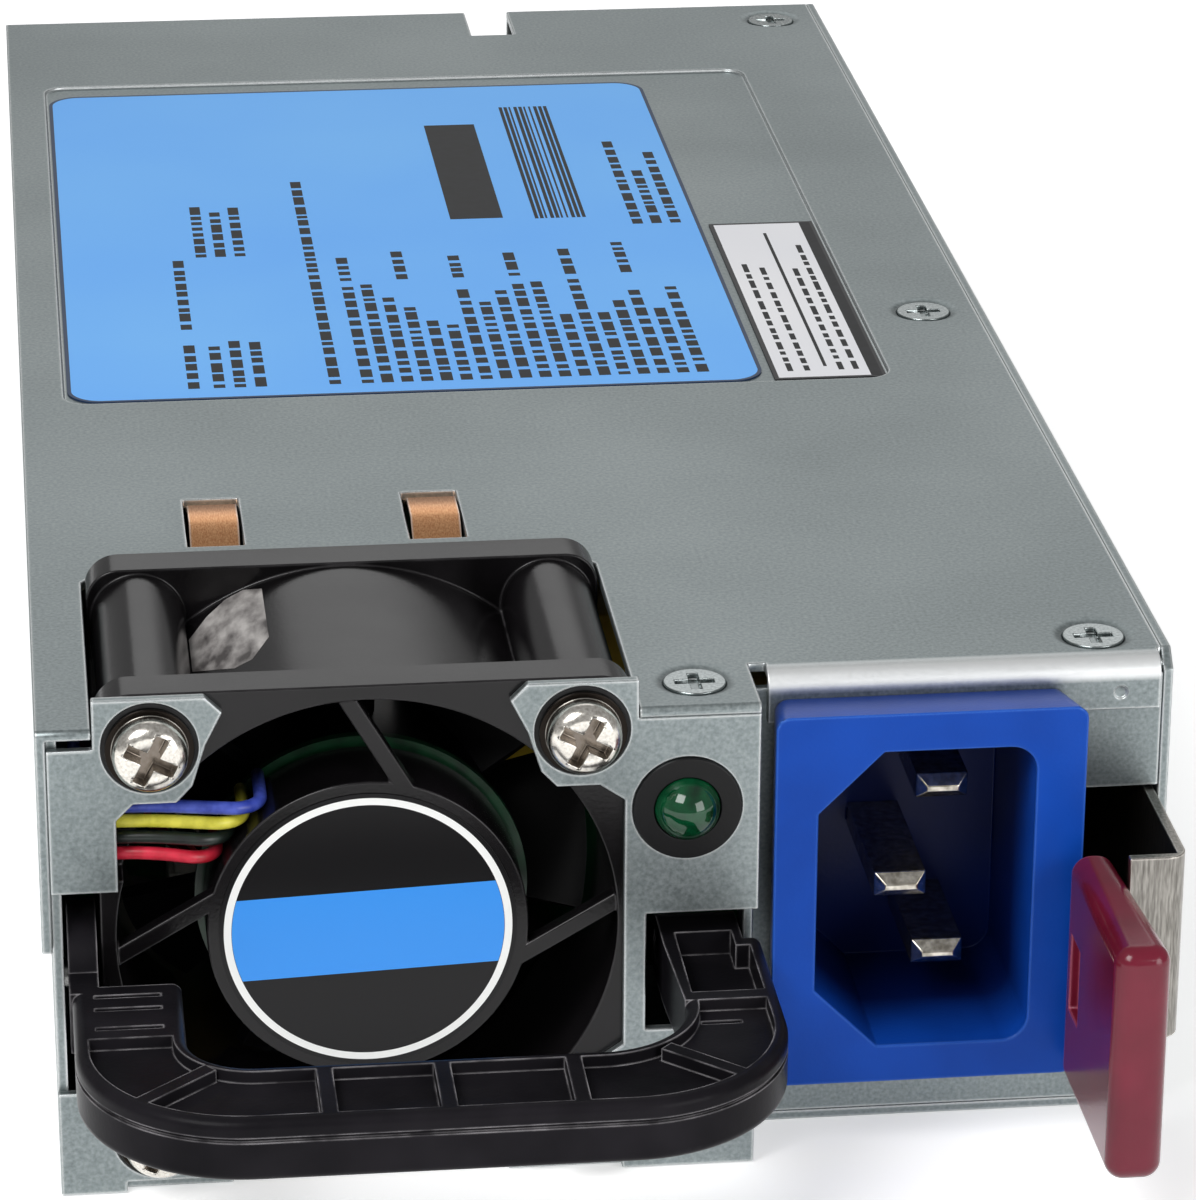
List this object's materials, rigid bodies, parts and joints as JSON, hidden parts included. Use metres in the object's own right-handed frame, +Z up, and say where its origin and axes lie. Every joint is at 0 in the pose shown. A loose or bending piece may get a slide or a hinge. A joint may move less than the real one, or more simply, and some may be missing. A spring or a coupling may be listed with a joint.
{
  "type": "hot swap server power supply",
  "caption": "Slim plug-in power supply: folded steel case, fan with loop handle, mains inlet and release latch in front, card edge behind.",
  "frame": {"origin": "on the underside of the chassis floor, at the middle of the chassis' width and length", "axes": "+X to the right seen from the front, +Y from the front panel to the card edge, +Z up"},
  "size_m": [0.0878, 0.2195, 0.0408],
  "materials": {
    "galvanised_steel": "galvanised, fine matte grain",
    "bright_steel": "nickel plated",
    "copper": "bright beryllium copper, satin",
    "fan_plastic": "moulded PBT, satin black",
    "fan_label_print": "printed film with a blue band",
    "board_green": "solder mask",
    "bronze": "sintered bronze",
    "iron": "laminated and painted",
    "ferrite": "sintered, matte",
    "turned_steel": "ground",
    "black_rubber": "soft matte",
    "connector_white": "moulded nylon",
    "lead_jacket": "thin PVC insulation in four colours",
    "black_plastic": "moulded, satin black",
    "spring_steel": "rolled spring steel, satin",
    "tab_maroon": "moulded dark red, satin",
    "inlet_blue": "moulded royal blue, semi-gloss",
    "nickel_brass": "nickel-plated brass",
    "mains_jacket": "PVC insulation",
    "led_green": "tinted clear epoxy",
    "rating_label_film": "printed sky-blue film",
    "serial_label_film": "white label with a black frame",
    "gold": "gold plated",
    "film": "thin polyester film",
    "winding_copper": "enamelled copper wire",
    "cap_yellow": "moulded box",
    "disc_blue": "dipped ceramic",
    "fuse_ceramic": "ceramic tube with metal caps",
    "relay_case": "moulded case",
    "epoxy_black": "moulded epoxy",
    "can_sleeve": "shrink sleeve",
    "aluminium_fins": "extruded",
    "tape_yellow": "polyester tape",
    "can_aluminium": "drawn can"
  },
  "bodies": {
    "housing": {"base_chassis": "galvanised_steel", "front_panel": "galvanised_steel", "inlet_panel": "galvanised_steel", "rear_panel": "galvanised_steel", "panel_rivets": "bright_steel", "top_cover": "galvanised_steel", "cover_screws": "bright_steel", "fan_frame": "fan_plastic", "fan_label": "fan_label_print", "fan_motor_board": "board_green", "fan_bearing": "bronze", "fan_stator": "iron", "fan_screws": "bright_steel", "fan_grommets": "black_rubber", "fan_plug": "connector_white", "fan_header": "connector_white", "fan_leads": "lead_jacket", "handle_pins": "turned_steel", "latch_rivets": "bright_steel", "inlet_body": "inlet_blue", "inlet_pins": "nickel_brass", "mains_leads": "mains_jacket", "led_lens": "led_green", "led_holder": "black_plastic", "led_board": "board_green", "rating_label": "rating_label_film", "serial_label": "serial_label_film", "main_board": "board_green", "edge_contacts": "gold", "insulation_sheet": "film", "board_standoffs": "nickel_brass", "board_screws": "bright_steel", "emi_choke_core": "ferrite", "emi_choke_winding": "winding_copper", "filter_capacitor": "cap_yellow", "safety_capacitors": "disc_blue", "input_fuse": "fuse_ceramic", "inrush_relay": "relay_case", "bridge_rectifier": "epoxy_black", "pfc_choke_core": "ferrite", "pfc_choke_winding": "winding_copper", "bulk_capacitor": "can_sleeve", "capacitor_saddle": "relay_case", "primary_heatsink": "aluminium_fins", "power_transistors": "epoxy_black", "aux_transformer": "tape_yellow", "control_board": "board_green", "transformer_core": "ferrite", "transformer_coil": "tape_yellow", "resonant_inductor": "tape_yellow", "output_heatsink": "aluminium_fins", "output_capacitors": "can_aluminium"},
    "fan_wheel": {"fan_rotor": "fan_plastic", "fan_magnet": "ferrite", "fan_shaft": "turned_steel"},
    "carrying_handle": {"handle": "black_plastic"},
    "latch": {"latch_strap": "spring_steel", "release_tab": "tab_maroon"},
    "left_finger": {"grounding_finger_left": "copper"},
    "right_finger": {"grounding_finger_right": "copper"}
  },
  "joints": [
    {"name": "fan_spin", "type": "hinge", "parent": "housing", "child": "fan_wheel", "pos_m": [-0.0188, -0.0785, 0.0208], "axis": [0, 1, 0], "continuous": true},
    {"name": "handle_swing", "type": "hinge", "parent": "housing", "child": "carrying_handle", "pos_m": [-0.0152, -0.0889, 0.0165], "axis": [-1, 0, 0], "range_deg": [0, 25]},
    {"name": "latch_flex", "type": "hinge", "parent": "housing", "child": "latch", "pos_m": [0.0417, -0.0475, 0.01965], "axis": [0, 0, -1], "range_deg": [0, 4], "stiffness_Nm_per_rad": 8},
    {"name": "left_finger_flex", "type": "hinge", "parent": "housing", "child": "left_finger", "pos_m": [-0.0282, -0.0438, 0.0375], "axis": [1, 0, 0], "range_deg": [0, 4], "stiffness_Nm_per_rad": 0.25},
    {"name": "right_finger_flex", "type": "hinge", "parent": "housing", "child": "right_finger", "pos_m": [-0.0104, -0.0438, 0.0375], "axis": [1, 0, 0], "range_deg": [0, 4], "stiffness_Nm_per_rad": 0.25}
  ]
}
